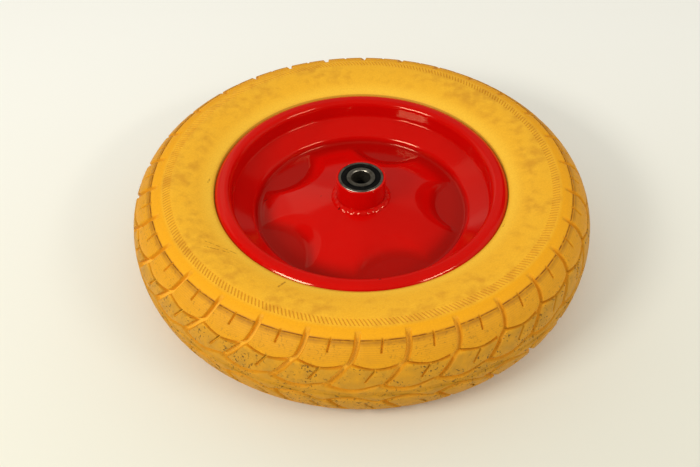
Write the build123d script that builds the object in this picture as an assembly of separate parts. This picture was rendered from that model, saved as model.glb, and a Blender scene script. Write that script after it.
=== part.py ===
"""Foam-filled barrow wheel on a star-pressed steel rim, with a tubular hub on two sealed ball bearings.

Millimetres. The origin is the wheel's centre and +Z runs along the axle. Turned and pressed pieces
are drawn as half sections, (radius, z), and revolved about Z. A size that ends in Z is a height
above the wheel's middle plane. The lower half of the wheel mirrors the upper one.
"""

import os
from math import asin, cos, radians, sin, sqrt

from build123d import *

# Tyre
TYRE_DIAMETER = 353.5
SHOULDER_DROP = 16.75
SHOULDER_Z = 35.1
CROWN_ARC_RADIUS = 62.0
CROWN_ARC_HALF_WIDTH = 14.0
SHOULDER_BAND_RUN = 13.0
SIDEWALL_PEAK_Z = 38.6
SIDEWALL_BULGE = 2.2
SHOULDER_BAND_BULGE = 0.6
BEAD_FOOT_STEP = 1.4
BEAD_FOOT_CHAMFER = 1.5
BEAD_DROP_UNDER_FLANGE = 1.2
TYRE_CLEARANCE = 0.2
WELL_RIB_DEPTH = 9.0

# Tread: every angle is measured in degrees from where the pitch's main groove crosses the shoulder
TREAD_PITCHES = 30
TREAD_PHASE = -1.0
GROOVE_DEPTH = 4.0
GROOVE_WIDTH = 4.2
GROOVE_RUN_OUT = 7.0
GROOVE_LEAN_TOP = (0.1, 38.0)
GROOVE_LEAN_KNEE = (-1.9, 24.2)
GROOVE_LEAN_FOOT = (-6.5, 8.2)
OUTER_SCALLOP = ((-1.8, 24.4), (4.25, 21.25), (10.2, 23.4))
OUTER_SCALLOP_WIDTH = 1.9
INNER_SCALLOP = ((-6.6, 8.6), (-1.0, 4.0), (5.4, 8.6))
INNER_SCALLOP_WIDTH = 3.2
SIPE_DEPTH = 2.4
SIPE_WIDTH = 1.8
SIPE_RUN_OUT = 2.6
SHOULDER_SIPE = ((6.0, 40.0), (5.4, 30.2))
BLOCK_SIPE = ((3.9, 21.0), (1.75, 11.6))
CUT_AIM = 2.0
FLOOR_BREAK_ANGLE = 50.0
NEIGHBOURS_THAT_REACH_IN = (-1, 0, 1, 2)
CUTTER_OVERRUN = 8.0

# Rim pressing
RIM_FLANGE_WIDTH = 10.9
RIM_FLANGE_Z = 30.5
RIM_SHEET = 1.8
BEAD_SEAT_DIAMETER = 203.2
BEAD_SEAT_FOOT_Z = 15.9
RIM_CONE_RUN = 15.5
RIM_CONE_FOOT_Z = 6.6
DISC_STEP_RUN = 5.1
DISC_EDGE_BEND = 2.0
CONE_FOOT_BEND = 3.0
SEAT_FOOT_BEND = 2.2
LIP_BEND = 3.0
LIP_CURL_LENGTH = 3.9

# Star pressed into the disc
STAR_POINTS = 5
STAR_PHASE = 19.3
STAR_WELD_Z = 14.7
STAR_SKIRT_RUN = 14.0
STAR_SHOULDER_Z = 6.8
STAR_TOE_MARGIN = 2.2
STAR_EDGE_RADIUS = 2.0
SCOOP_RADIUS = 34.0
SCOOP_CENTRE_PAST_TOE = 15.0
SCOOP_WALL_RUN = 9.5
SCOOP_WALL_RISE = 8.0

# Hub tube and its welds
HUB_LENGTH = 68.0
HUB_SEAT_WALL = 1.5
HUB_SEAT_STEP = 1.5
HUB_EDGE_CHAMFER = 0.4
HUB_HOLE_CLEARANCE = 0.1
WELD_LEG = 3.7
WELD_HEIGHT = 1.85
WELD_BULGE = 0.5

# Bearings
BEARING_BORE = 15.0
BEARING_DIAMETER = 35.0
BEARING_WIDTH = 11.0
BEARING_CHAMFER = 0.5
BALL_COUNT = 8
BALL_DIAMETER = 5.953
BALL_CLEARANCE = 0.015
RACE_CONFORMITY = 1.04
INNER_LAND_DROP = 1.7
OUTER_LAND_RISE = 1.9
SEAL_SEAT_DEPTH = 0.95
SEAL_THICKNESS = 0.9
SEAL_RECESS = 0.35
SEAL_LIP_CLEARANCE = 0.08
SEAL_GROOVE_DROP = 0.8
SEAL_GROOVE_WIDTH = 0.7
SEAL_GROOVE_DEPTH = 0.3
CAGE_SHEET = 0.5
CAGE_WIDTH = 2.4
CAGE_BALL_CLEARANCE = 0.08
RIVET_DIAMETER = 0.9
RIVET_HEAD_DIAMETER = 1.5
RIVET_HEAD_HEIGHT = 0.35

# Distance sleeve between the two inner rings
SLEEVE_CLEARANCE = 0.3
SLEEVE_WALL = 2.2

# Worked out from the sizes above
PITCH_ANGLE = 360 / TREAD_PITCHES
CROWN_RADIUS = TYRE_DIAMETER / 2
SHOULDER = Vector(CROWN_RADIUS - SHOULDER_DROP, SHOULDER_Z)
SIDEWALL_PEAK = Vector(SHOULDER.X - SHOULDER_BAND_RUN, SIDEWALL_PEAK_Z)
CROWN_ARC_ANGLE = asin(CROWN_ARC_HALF_WIDTH / CROWN_ARC_RADIUS)
CROWN_ARC_CENTRE = CROWN_RADIUS - CROWN_ARC_RADIUS
BEAD_SEAT_RADIUS = BEAD_SEAT_DIAMETER / 2
FLANGE_RADIUS = BEAD_SEAT_RADIUS + RIM_FLANGE_WIDTH
SEAT_FACE_RADIUS = BEAD_SEAT_RADIUS - RIM_SHEET
CONE_FOOT_RADIUS = SEAT_FACE_RADIUS - RIM_CONE_RUN
DISC_EDGE_RADIUS = CONE_FOOT_RADIUS - DISC_STEP_RUN
STAR_TOE_RADIUS = DISC_EDGE_RADIUS - STAR_TOE_MARGIN
STAR_SHOULDER_RADIUS = STAR_TOE_RADIUS - STAR_SKIRT_RUN
HUB_RADIUS = BEARING_DIAMETER / 2 + HUB_SEAT_WALL
WELD_TOE_RADIUS = HUB_RADIUS + WELD_LEG
STAR_SLOPE = (STAR_WELD_Z - STAR_SHOULDER_Z) / (STAR_SHOULDER_RADIUS - WELD_TOE_RADIUS)
BEARING_CENTRE_Z = (HUB_LENGTH - BEARING_WIDTH) / 2
BALL_PITCH_RADIUS = (BEARING_BORE + BEARING_DIAMETER) / 4
INNER_LAND_RADIUS = BALL_PITCH_RADIUS - INNER_LAND_DROP
OUTER_LAND_RADIUS = BALL_PITCH_RADIUS + OUTER_LAND_RISE
SEAL_RADIUS = OUTER_LAND_RADIUS + SEAL_SEAT_DEPTH
SLEEVE_BORE_RADIUS = BEARING_BORE / 2 + SLEEVE_CLEARANCE
RACE_RADIUS = RACE_CONFORMITY * BALL_DIAMETER / 2


def turned(outline, arc=360):
    """Revolve a closed half section about the wheel's axis."""
    return revolve(Plane.XZ * make_face(outline), Axis.Z, revolution_arc=arc)


def turned_ring(inner_radius, outer_radius, low_z, high_z):
    """A plain turned ring."""
    corners = Polyline(
        (inner_radius, low_z), (outer_radius, low_z), (outer_radius, high_z), (inner_radius, high_z), close=True
    )
    return turned(corners.edges())


def below(piece):
    """The same piece on the wheel's lower side."""
    return mirror(piece, Plane.XY)


def crown_arc_point(depth, angle):
    """A point on the middle arc of the tread, lowered by depth, at an angle in radians from the middle."""
    radius = CROWN_ARC_RADIUS - depth
    return Vector(CROWN_ARC_CENTRE + radius * cos(angle), radius * sin(angle))


def shoulder_arc():
    """Radius and centre of the arc that leaves the middle arc smoothly and ends on the shoulder line."""
    start = crown_arc_point(0, CROWN_ARC_ANGLE)
    normal = Vector(cos(CROWN_ARC_ANGLE), sin(CROWN_ARC_ANGLE))
    chord = start - SHOULDER
    radius = chord.dot(chord) / (2 * normal.dot(chord))
    return radius, start - normal * radius


SHOULDER_ARC_RADIUS, SHOULDER_ARC_CENTRE = shoulder_arc()


def tread_radius(z):
    """Radius of the uncut tread at height z, held at the shoulder's radius above the shoulder."""
    if z <= CROWN_ARC_HALF_WIDTH:
        return CROWN_ARC_CENTRE + sqrt(CROWN_ARC_RADIUS**2 - z**2)
    drop = min(z, SHOULDER_Z) - SHOULDER_ARC_CENTRE.Y
    return SHOULDER_ARC_CENTRE.X + sqrt(SHOULDER_ARC_RADIUS**2 - drop**2)


def rim_face_path():
    """The visible face of one pressing, from the hub hole out to the curled lip."""
    return FilletPolyline(
        (HUB_RADIUS + HUB_HOLE_CLEARANCE, RIM_SHEET),
        (DISC_EDGE_RADIUS, RIM_SHEET),
        (CONE_FOOT_RADIUS, RIM_CONE_FOOT_Z),
        (SEAT_FACE_RADIUS, BEAD_SEAT_FOOT_Z),
        (SEAT_FACE_RADIUS, RIM_FLANGE_Z),
        (FLANGE_RADIUS, RIM_FLANGE_Z),
        (FLANGE_RADIUS, RIM_FLANGE_Z - LIP_CURL_LENGTH),
        radius=[DISC_EDGE_BEND, CONE_FOOT_BEND, SEAT_FOOT_BEND, LIP_BEND, LIP_BEND],
    )


def rim_section():
    """Section of one pressing without its star."""
    return offset(rim_face_path(), RIM_SHEET, side=Side.RIGHT, closed=True).edges()


def tyre_outline():
    """Closed section of the uncut tyre, with a bead either side of a rib that sits in the rim's well."""
    crown_end = crown_arc_point(0, CROWN_ARC_ANGLE)
    tangent = (-sin(CROWN_ARC_ANGLE), cos(CROWN_ARC_ANGLE))
    edge_radius = FLANGE_RADIUS + TYRE_CLEARANCE
    edge_z = RIM_FLANGE_Z - BEAD_DROP_UNDER_FLANGE
    seat_radius = BEAD_SEAT_RADIUS + TYRE_CLEARANCE
    seat_foot_z = BEAD_SEAT_FOOT_Z - 2 * RIM_SHEET
    well_slope = (BEAD_SEAT_FOOT_Z - RIM_CONE_FOOT_Z) / RIM_CONE_RUN
    rib_radius = seat_radius - WELL_RIB_DEPTH
    rib_z = seat_foot_z - WELL_RIB_DEPTH * well_slope
    under_flange_z = RIM_FLANGE_Z - LIP_CURL_LENGTH - TYRE_CLEARANCE
    half = [
        TangentArc(crown_end, SHOULDER, tangent=tangent),
        SagittaArc(SHOULDER, SIDEWALL_PEAK, -SHOULDER_BAND_BULGE),
        SagittaArc(SIDEWALL_PEAK, (edge_radius, edge_z), -SIDEWALL_BULGE),
        *Polyline(
            (edge_radius, edge_z),
            (edge_radius, under_flange_z),
            (BEAD_SEAT_RADIUS + BEAD_FOOT_STEP, under_flange_z),
            (seat_radius, under_flange_z - BEAD_FOOT_CHAMFER),
            (seat_radius, seat_foot_z),
            (rib_radius, rib_z),
            (rib_radius, 0),
        ).edges(),
    ]
    crown = ThreePointArc((crown_end.X, -crown_end.Y), (CROWN_RADIUS, 0), crown_end)
    return Curve() + [crown, *half, *mirror(Curve() + half, Plane.XZ).edges()]


def groove_floor(depth, run_out):
    """The solid left under a tread cut: it follows the tread at depth, then runs out into the sidewall."""
    top_z = SIDEWALL_PEAK_Z + CUTTER_OVERRUN
    core_radius = CROWN_RADIUS / 2
    bend = radians(FLOOR_BREAK_ANGLE)
    middle = crown_arc_point(depth, 0)
    joint = crown_arc_point(depth, CROWN_ARC_ANGLE)
    end = SHOULDER_ARC_CENTRE + Vector(cos(bend), sin(bend)) * (SHOULDER_ARC_RADIUS - depth)
    exit_point = SHOULDER + (SIDEWALL_PEAK - SHOULDER).normalized() * run_out
    rise = exit_point - end
    top = end + rise * ((top_z - end.Y) / rise.Y)
    tangent = (-sin(CROWN_ARC_ANGLE), cos(CROWN_ARC_ANGLE))
    lines = [
        ThreePointArc(middle, crown_arc_point(depth, CROWN_ARC_ANGLE / 2), joint),
        TangentArc(joint, end, tangent=tangent),
        *Polyline(end, top, (core_radius, top_z), (core_radius, 0), middle).edges(),
    ]
    return turned(Curve() + lines)


def on_tread(angle, z):
    """A point of the flat drawing of one tread pitch, whose cuts all aim along one radius."""
    return Vector(tread_radius(z) * sin(radians(angle - CUT_AIM)), z)


def tread_cuts():
    """All cuts of one tread pitch on the upper side: leaning groove, two scallops and two sipes."""
    top, knee, foot = (on_tread(*point) for point in (GROOVE_LEAN_TOP, GROOVE_LEAN_KNEE, GROOVE_LEAN_FOOT))
    groove = (
        trace(Line(foot, knee), GROOVE_WIDTH)
        + trace(TangentArc(knee, top, tangent=knee - foot), GROOVE_WIDTH)
        + trace(ThreePointArc(*(on_tread(*point) for point in OUTER_SCALLOP)), OUTER_SCALLOP_WIDTH)
        + trace(ThreePointArc(*(on_tread(*point) for point in INNER_SCALLOP)), INNER_SCALLOP_WIDTH)
    )
    sipes = Sketch() + [
        trace(Line(*(on_tread(*point) for point in line)), SIPE_WIDTH) for line in (SHOULDER_SIPE, BLOCK_SIPE)
    ]
    start = SHOULDER.X - 2 * CUTTER_OVERRUN
    drawing = Plane(origin=(start, 0, 0), x_dir=(0, 1, 0), z_dir=(1, 0, 0))
    reach = CROWN_RADIUS + CUTTER_OVERRUN - start
    deep = extrude(drawing * groove, reach) - groove_floor(GROOVE_DEPTH, GROOVE_RUN_OUT)
    shallow = extrude(drawing * sipes, reach) - groove_floor(SIPE_DEPTH, SIPE_RUN_OUT)
    return deep + shallow


def tyre():
    """One tread pitch of the tyre, cut and repeated round the wheel."""
    one_side = tread_cuts()
    blank = turned(tyre_outline(), PITCH_ANGLE)
    both_sides = (one_side, below(one_side))
    cuts = [Rot(0, 0, PITCH_ANGLE * k) * side for k in NEIGHBOURS_THAT_REACH_IN for side in both_sides]
    pitch = blank.cut(*cuts)
    first = TREAD_PHASE + CUT_AIM - 90
    pitches = [Rot(0, 0, first + PITCH_ANGLE * k) * pitch for k in range(TREAD_PITCHES)]
    return pitches[0].fuse(*pitches[1:], glue=True)


def star_dome():
    """The raised star as a solid: a low cone with a scoop between each two points, its edges rounded."""
    toe = (STAR_TOE_RADIUS, RIM_SHEET)
    shoulder = (STAR_SHOULDER_RADIUS, STAR_SHOULDER_Z)
    apex_z = STAR_WELD_Z + WELD_TOE_RADIUS * STAR_SLOPE
    outline = Polyline((0, 0), (STAR_TOE_RADIUS, 0), toe, shoulder, (0, apex_z), close=True)
    dome = turned(outline.edges())
    flare = SCOOP_WALL_RUN / SCOOP_WALL_RISE
    low, high = -RIM_SHEET, apex_z + RIM_SHEET
    scoop = Cone(
        SCOOP_RADIUS + (low - RIM_SHEET) * flare,
        SCOOP_RADIUS + (high - RIM_SHEET) * flare,
        high - low,
        align=(Align.CENTER, Align.CENTER, Align.MIN),
    )
    for k in range(STAR_POINTS):
        turn = Rot(0, 0, STAR_PHASE - 90 + 360 / STAR_POINTS * k)
        dome = dome - turn * Pos(STAR_TOE_RADIUS + SCOOP_CENTRE_PAST_TOE, 0, low) * scoop
    middle = 0.5
    rims = [edge for edge in dome.edges() if (edge @ middle).Z > RIM_SHEET * 1.1]
    return fillet(rims, STAR_EDGE_RADIUS)


def rim_half():
    """One pressing: flange, bead seat, cone and step turned, with the star raised out of the disc."""
    star = star_dome()
    pressing = turned(rim_section()) + star - Pos(0, 0, -RIM_SHEET) * star
    return pressing - Cylinder(HUB_RADIUS + HUB_HOLE_CLEARANCE, HUB_LENGTH)


def hub_tube():
    """The tube through both pressings, bored out at each end for a bearing."""
    bore_radius = BEARING_DIAMETER / 2 - HUB_SEAT_STEP
    tube = Cylinder(HUB_RADIUS, HUB_LENGTH) - Cylinder(bore_radius, HUB_LENGTH)
    for side in (1, -1):
        tube -= Pos(0, 0, side * BEARING_CENTRE_Z) * Cylinder(BEARING_DIAMETER / 2, BEARING_WIDTH)
    return chamfer(tube.edges().filter_by(GeomType.CIRCLE).group_by(SortBy.RADIUS)[-1], HUB_EDGE_CHAMFER)


def weld_bead():
    """The fillet weld between the hub tube and the upper pressing."""
    corner = Vector(HUB_RADIUS, STAR_WELD_Z + WELD_LEG * STAR_SLOPE)
    toe = Vector(WELD_TOE_RADIUS, STAR_WELD_Z)
    top = corner + Vector(0, WELD_HEIGHT)
    return turned([*Polyline(toe, corner, top).edges(), SagittaArc(toe, top, WELD_BULGE)])


def race(radius, lip_side):
    """A ball groove as a solid ring, with its deepest point a running clearance off the balls."""
    deepest = BALL_PITCH_RADIUS + lip_side * (BALL_DIAMETER / 2 + BALL_CLEARANCE)
    return Torus(deepest - lip_side * radius, radius)


def bearing_outer_ring():
    """Outer ring with its ball groove and a seat for a seal at each end."""
    half = BEARING_WIDTH / 2
    blank = turned_ring(OUTER_LAND_RADIUS, BEARING_DIAMETER / 2, -half, half)
    corners = blank.edges().filter_by(GeomType.CIRCLE).group_by(SortBy.RADIUS)[-1]
    ring = chamfer(corners, BEARING_CHAMFER) - race(RACE_RADIUS, 1)
    depth = SEAL_RECESS + SEAL_THICKNESS
    for side in (1, -1):
        ring -= Pos(0, 0, side * (half - depth / 2)) * Cylinder(SEAL_RADIUS, depth)
    return ring


def bearing_inner_ring():
    """Inner ring with its ball groove and a chamfered bore."""
    half = BEARING_WIDTH / 2
    blank = turned_ring(BEARING_BORE / 2, INNER_LAND_RADIUS, -half, half)
    corners = blank.edges().filter_by(GeomType.CIRCLE).group_by(SortBy.RADIUS)[0]
    return chamfer(corners, BEARING_CHAMFER) - race(RACE_RADIUS, -1)


def bearing_seal():
    """Rubber-faced seal at the bearing's upper end, with a moulded groove beside its lip."""
    high = BEARING_WIDTH / 2 - SEAL_RECESS
    seal = turned_ring(INNER_LAND_RADIUS + SEAL_LIP_CLEARANCE, SEAL_RADIUS, high - SEAL_THICKNESS, high)
    groove_radius = BALL_PITCH_RADIUS - SEAL_GROOVE_DROP
    return seal - turned_ring(groove_radius, groove_radius + SEAL_GROOVE_WIDTH, high - SEAL_GROOVE_DEPTH, high)


def round_the_balls(piece, phase=0.0):
    """A copy of a piece at each ball, or at each gap with a phase of half a pitch."""
    placed = Pos(BALL_PITCH_RADIUS, 0, 0) * piece
    return [Rot(0, 0, 360 / BALL_COUNT * (k + phase)) * placed for k in range(BALL_COUNT)]


def bearing_cage_half():
    """Upper half of the pressed cage: a flat ring with a rounded pocket over each ball, and rivet holes."""
    inner, outer = BALL_PITCH_RADIUS - CAGE_WIDTH / 2, BALL_PITCH_RADIUS + CAGE_WIDTH / 2
    pocket_radius = BALL_DIAMETER / 2 + CAGE_BALL_CLEARANCE
    shells = Part() + round_the_balls(Sphere(pocket_radius + CAGE_SHEET))
    band = turned_ring(inner, outer, 0, BEARING_WIDTH / 2)
    cage = turned_ring(inner, outer, 0, CAGE_SHEET) + (band & shells)
    return cage.cut(*round_the_balls(Sphere(pocket_radius)), *round_the_balls(rivet(0), 0.5))


def rivet(head_height):
    """One cage rivet, headed on both sides where a head height is given."""
    shank = Cylinder(RIVET_DIAMETER / 2, 2 * CAGE_SHEET)
    if not head_height:
        return shank
    head = Cylinder(RIVET_HEAD_DIAMETER / 2, head_height)
    lift = CAGE_SHEET + head_height / 2
    return shank + Pos(0, 0, lift) * head + Pos(0, 0, -lift) * head


def bearing():
    """The pieces of one bearing, centred on the origin, with its outer side up."""
    cage = bearing_cage_half()
    seal = bearing_seal()
    return {
        "outer_ring": bearing_outer_ring(),
        "inner_ring": bearing_inner_ring(),
        "balls": Compound(children=round_the_balls(Sphere(BALL_DIAMETER / 2))),
        "cage_outer_half": cage,
        "cage_inner_half": below(cage),
        "cage_rivets": Compound(children=round_the_balls(rivet(RIVET_HEAD_HEIGHT), 0.5)),
        "seal_outer": seal,
        "seal_inner": below(seal),
    }


def wheel():
    """Every piece of the wheel by its name."""
    pressing = rim_half()
    weld = weld_bead()
    sleeve_half = HUB_LENGTH / 2 - BEARING_WIDTH
    pieces = {
        "tyre": tyre(),
        "rim_half_upper": pressing,
        "rim_half_lower": below(pressing),
        "hub_tube": hub_tube(),
        "weld_bead_upper": weld,
        "weld_bead_lower": below(weld),
        "distance_sleeve": turned_ring(
            SLEEVE_BORE_RADIUS, SLEEVE_BORE_RADIUS + SLEEVE_WALL, -sleeve_half, sleeve_half
        ),
    }
    for name, piece in bearing().items():
        raised = Pos(0, 0, BEARING_CENTRE_Z) * piece
        pieces[f"upper_bearing_{name}"] = raised
        pieces[f"lower_bearing_{name}"] = below(raised)
    return pieces


os.makedirs("parts", exist_ok=True)
for node, solid in wheel().items():
    export_step(solid, f"parts/{node}.step")
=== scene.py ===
"""Looks of a foam-filled barrow wheel on a star-pressed rim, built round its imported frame.

Shapes are worked out in millimetres and made in metres. +Z runs along the axle and -Y faces the
camera. An azimuth is 0 towards the camera and grows towards +X. A meridian is a line in the
half plane of radius and height, which a piece sweeps round the axle.
"""

import logging
import math
from collections.abc import Callable, Iterable, Mapping, Sequence
from dataclasses import dataclass, field
from enum import Enum
from typing import Any

import bpy
import numpy as np
from mathutils import Matrix, Vector
from mathutils.geometry import delaunay_2d_cdt

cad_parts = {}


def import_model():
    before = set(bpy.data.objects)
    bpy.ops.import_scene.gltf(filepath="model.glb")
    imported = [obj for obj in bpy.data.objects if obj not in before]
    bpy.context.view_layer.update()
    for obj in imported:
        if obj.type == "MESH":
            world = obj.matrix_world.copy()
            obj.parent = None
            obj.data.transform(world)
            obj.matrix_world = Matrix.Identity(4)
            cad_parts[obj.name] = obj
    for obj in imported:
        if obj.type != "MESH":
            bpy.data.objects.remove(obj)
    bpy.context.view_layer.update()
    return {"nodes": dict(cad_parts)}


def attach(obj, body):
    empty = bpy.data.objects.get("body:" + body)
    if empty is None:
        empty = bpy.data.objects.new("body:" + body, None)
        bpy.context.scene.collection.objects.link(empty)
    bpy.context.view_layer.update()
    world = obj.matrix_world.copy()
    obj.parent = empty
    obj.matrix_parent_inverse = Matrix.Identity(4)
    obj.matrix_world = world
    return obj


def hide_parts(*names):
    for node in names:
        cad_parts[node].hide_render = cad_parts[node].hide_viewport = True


LOG = logging.getLogger("wheel")
MM = 0.001
FLIP = np.array((1, 1, -1))
Array = np.ndarray


class Side(Enum):
    """The two mirrored sides of the wheel, as the sign of their height."""

    UPPER = 1
    LOWER = -1

    @property
    def word(self) -> str:
        """The side's word in the names of its pieces."""
        return self.name.lower()


class Signal:
    """A number that varies over a surface: a shader socket that takes part in plain arithmetic."""

    def __init__(self, graph: "Graph", socket: bpy.types.NodeSocket) -> None:
        """Wraps a socket of the graph."""
        self.graph = graph
        self.socket = socket

    def _maths(self, operation: str, *values: Any) -> "Signal":
        """Adds a Math node for an operation on values and sockets."""
        node = self.graph.node("ShaderNodeMath", dict(enumerate(values)), operation=operation)
        return Signal(self.graph, node.outputs[0])

    def __add__(self, other: Any) -> "Signal":
        """self + other."""
        return self._maths("ADD", self, other)

    __radd__ = __add__

    def __sub__(self, other: Any) -> "Signal":
        """self - other."""
        return self._maths("SUBTRACT", self, other)

    def __rsub__(self, other: Any) -> "Signal":
        """other - self."""
        return self._maths("SUBTRACT", other, self)

    def __mul__(self, other: Any) -> "Signal":
        """self * other."""
        return self._maths("MULTIPLY", self, other)

    __rmul__ = __mul__

    def __truediv__(self, other: Any) -> "Signal":
        """self / other."""
        return self._maths("DIVIDE", self, other)

    def __rtruediv__(self, other: Any) -> "Signal":
        """other / self."""
        return self._maths("DIVIDE", other, self)

    def __pow__(self, other: Any) -> "Signal":
        """self to the power of other."""
        return self._maths("POWER", self, other)

    def __abs__(self) -> "Signal":
        """The size of self."""
        return self._maths("ABSOLUTE", self)

    def sine(self) -> "Signal":
        """Sine of self in radians."""
        return self._maths("SINE", self)

    def at_most(self, other: Any) -> "Signal":
        """The lesser of self and other."""
        return self._maths("MINIMUM", self, other)

    def at_least(self, other: Any) -> "Signal":
        """The greater of self and other."""
        return self._maths("MAXIMUM", self, other)

    def heading(self, other: "Signal") -> "Signal":
        """Angle in radians whose tangent is self over other."""
        return self._maths("ARCTAN2", self, other)

    def rise(self, low: float, high: float) -> "Signal":
        """0 up to low, 1 from high and a smooth rise between.

        Args:
            low: Value where the rise starts; above high, the signal falls instead.
            high: Value where the rise ends.

        Returns:
            A signal from 0 to 1.
        """
        backwards = low > high
        limits = (high, low) if backwards else (low, high)
        node = self.graph.node(
            "ShaderNodeMapRange",
            {"Value": self, "From Min": limits[0], "From Max": limits[1]},
            interpolation_type="SMOOTHSTEP",
        )
        made = Signal(self.graph, node.outputs["Result"])
        return 1 - made if backwards else made

    def near(self, middle: float, reach: float) -> "Signal":
        """1 at a middle value, falling smoothly to 0 at a reach on either side."""
        return abs(self - middle).rise(reach, 0)


ScreenColour = tuple[int, int, int]
LinearColour = tuple[float, float, float, float]


def linear_colour(colour: ScreenColour) -> LinearColour:
    """A colour given as it shows on a screen, in the linear values that a shader takes.

    Args:
        colour: Red, green and blue from 0 to 255.

    Returns:
        Linear red, green and blue, and a full alpha.
    """
    linear = [((c / 255 + 0.055) / 1.055) ** 2.4 if c > 10 else c / 255 / 12.92 for c in colour]
    return (*linear, 1.0)


@dataclass(frozen=True)
class Mark:
    """A scratch or a chip on the upper side: X and Y of its ends and half its width, in millimetres."""

    start: tuple[float, float]
    end: tuple[float, float]
    half_width: float


class Graph:
    """The node tree of one material, with one way to add a node."""

    def __init__(self, name: str) -> None:
        """Starts an empty material of that name."""
        self.material = bpy.data.materials.new(name)
        self.material.use_nodes = True
        self.tree = self.material.node_tree
        self.tree.nodes.clear()
        self.place = self.node("ShaderNodeTexCoord").outputs["Object"]

    def node(self, kind: str, inputs: Mapping[Any, Any] | None = None, **settings: Any) -> bpy.types.Node:
        """Adds a node.

        Args:
            kind: Blender's type of node.
            inputs: Values or links of its sockets, by name or number.
            settings: Properties set before the sockets; stops is a ramp's list of places and colours.

        Returns:
            The new node.
        """
        made = self.tree.nodes.new(kind)
        stops = settings.pop("stops", None)
        for name, value in settings.items():
            setattr(made, name, value)
        if stops:
            ramp = made.color_ramp
            while len(ramp.elements) < len(stops):
                ramp.elements.new(1.0)
            for element, (place, colour) in zip(ramp.elements, stops):
                element.position = place
                element.color = colour
        for name, value in (inputs or {}).items():
            socket = made.inputs[name]
            if isinstance(value, Signal):
                value = value.socket
            if isinstance(value, bpy.types.NodeSocket):
                self.tree.links.new(value, socket)
            else:
                socket.default_value = value
        return made

    def noise(self, size: float, detail: float = 2.0, seed: float = 0.0) -> Signal:
        """Soft noise from 0 to 1.

        Args:
            size: Size of its largest blots, in millimetres.
            detail: Number of finer layers.
            seed: Shift along every axis in metres, which gives another pattern.

        Returns:
            The noise.
        """
        shifted = self.node("ShaderNodeMapping", {"Vector": self.place, "Location": (seed, seed, seed)})
        inputs = {"Vector": shifted.outputs[0], "Scale": 1 / (size * MM), "Detail": detail}
        return Signal(self, self.node("ShaderNodeTexNoise", inputs).outputs["Fac"])

    def attribute(self, name: str) -> Signal:
        """A value kept with the points of the mesh."""
        return Signal(self, self.node("ShaderNodeAttribute", attribute_name=name).outputs["Fac"])

    def layered(self, base: ScreenColour, *layers: tuple[Signal, ScreenColour]) -> bpy.types.NodeSocket:
        """Lays colours over a base, each by its own share.

        Args:
            base: The lowest colour.
            layers: A share from 0 to 1 and a colour for each layer, from the lowest up.

        Returns:
            The mixed colour's socket.
        """
        mixed = linear_colour(base)
        for share, colour in layers:
            inputs = {0: share, 6: mixed, 7: linear_colour(colour)}
            mixed = self.node("ShaderNodeMix", inputs, data_type="RGBA").outputs[2]
        return mixed

    def axes(self) -> tuple[Signal, Signal, Signal]:
        """X, Y and Z of the surface, in millimetres."""
        parts = self.node("ShaderNodeSeparateXYZ", {0: self.place}).outputs
        x, y, z = (Signal(self, parts[k]) * (1 / MM) for k in range(3))
        return x, y, z

    def polar(self) -> tuple[Signal, Signal, Signal]:
        """Radius, azimuth in degrees and height of the surface, in millimetres."""
        x, y, z = self.axes()
        radius = (x * x + y * y) ** 0.5
        azimuth = x.heading(y * -1) * math.degrees(1)
        return radius, azimuth, z

    def streak(self, mark: Mark) -> Signal:
        """A straight mark on the upper side, seen along the axle.

        Args:
            mark: Where it lies and how wide it is.

        Returns:
            1 on the mark, falling to 0 at its edge.
        """
        x, y, z = self.axes()
        x, y = x - mark.start[0], y - mark.start[1]
        run_x, run_y = mark.end[0] - mark.start[0], mark.end[1] - mark.start[1]
        share = ((x * run_x + y * run_y) / (run_x**2 + run_y**2)).at_least(0).at_most(1)
        gap = ((x - share * run_x) ** 2 + (y - share * run_y) ** 2) ** 0.5
        return gap.rise(mark.half_width, 0) * z.rise(0, 1)

    def streaks(self, marks: Iterable[Mark]) -> Signal:
        """All of several marks."""
        return sum(self.streak(mark) for mark in marks)

    def bump(self, height: Signal, distance: float, strength: float) -> bpy.types.NodeSocket:
        """A bumped normal from a height of 0 to 1, whose full distance is in millimetres."""
        inputs = {"Height": height, "Distance": distance * MM, "Strength": strength}
        return self.node("ShaderNodeBump", inputs).outputs["Normal"]

    def finish(self, **sockets: Any) -> bpy.types.Material:
        """Ends the tree in one main shader.

        Args:
            sockets: Values or links of its sockets; an underscore in a name stands for a space.

        Returns:
            The finished material.
        """
        named = {name.replace("_", " "): value for name, value in sockets.items()}
        shader = self.node("ShaderNodeBsdfPrincipled", named)
        self.node("ShaderNodeOutputMaterial", {"Surface": shader.outputs[0]})
        return self.material


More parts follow.
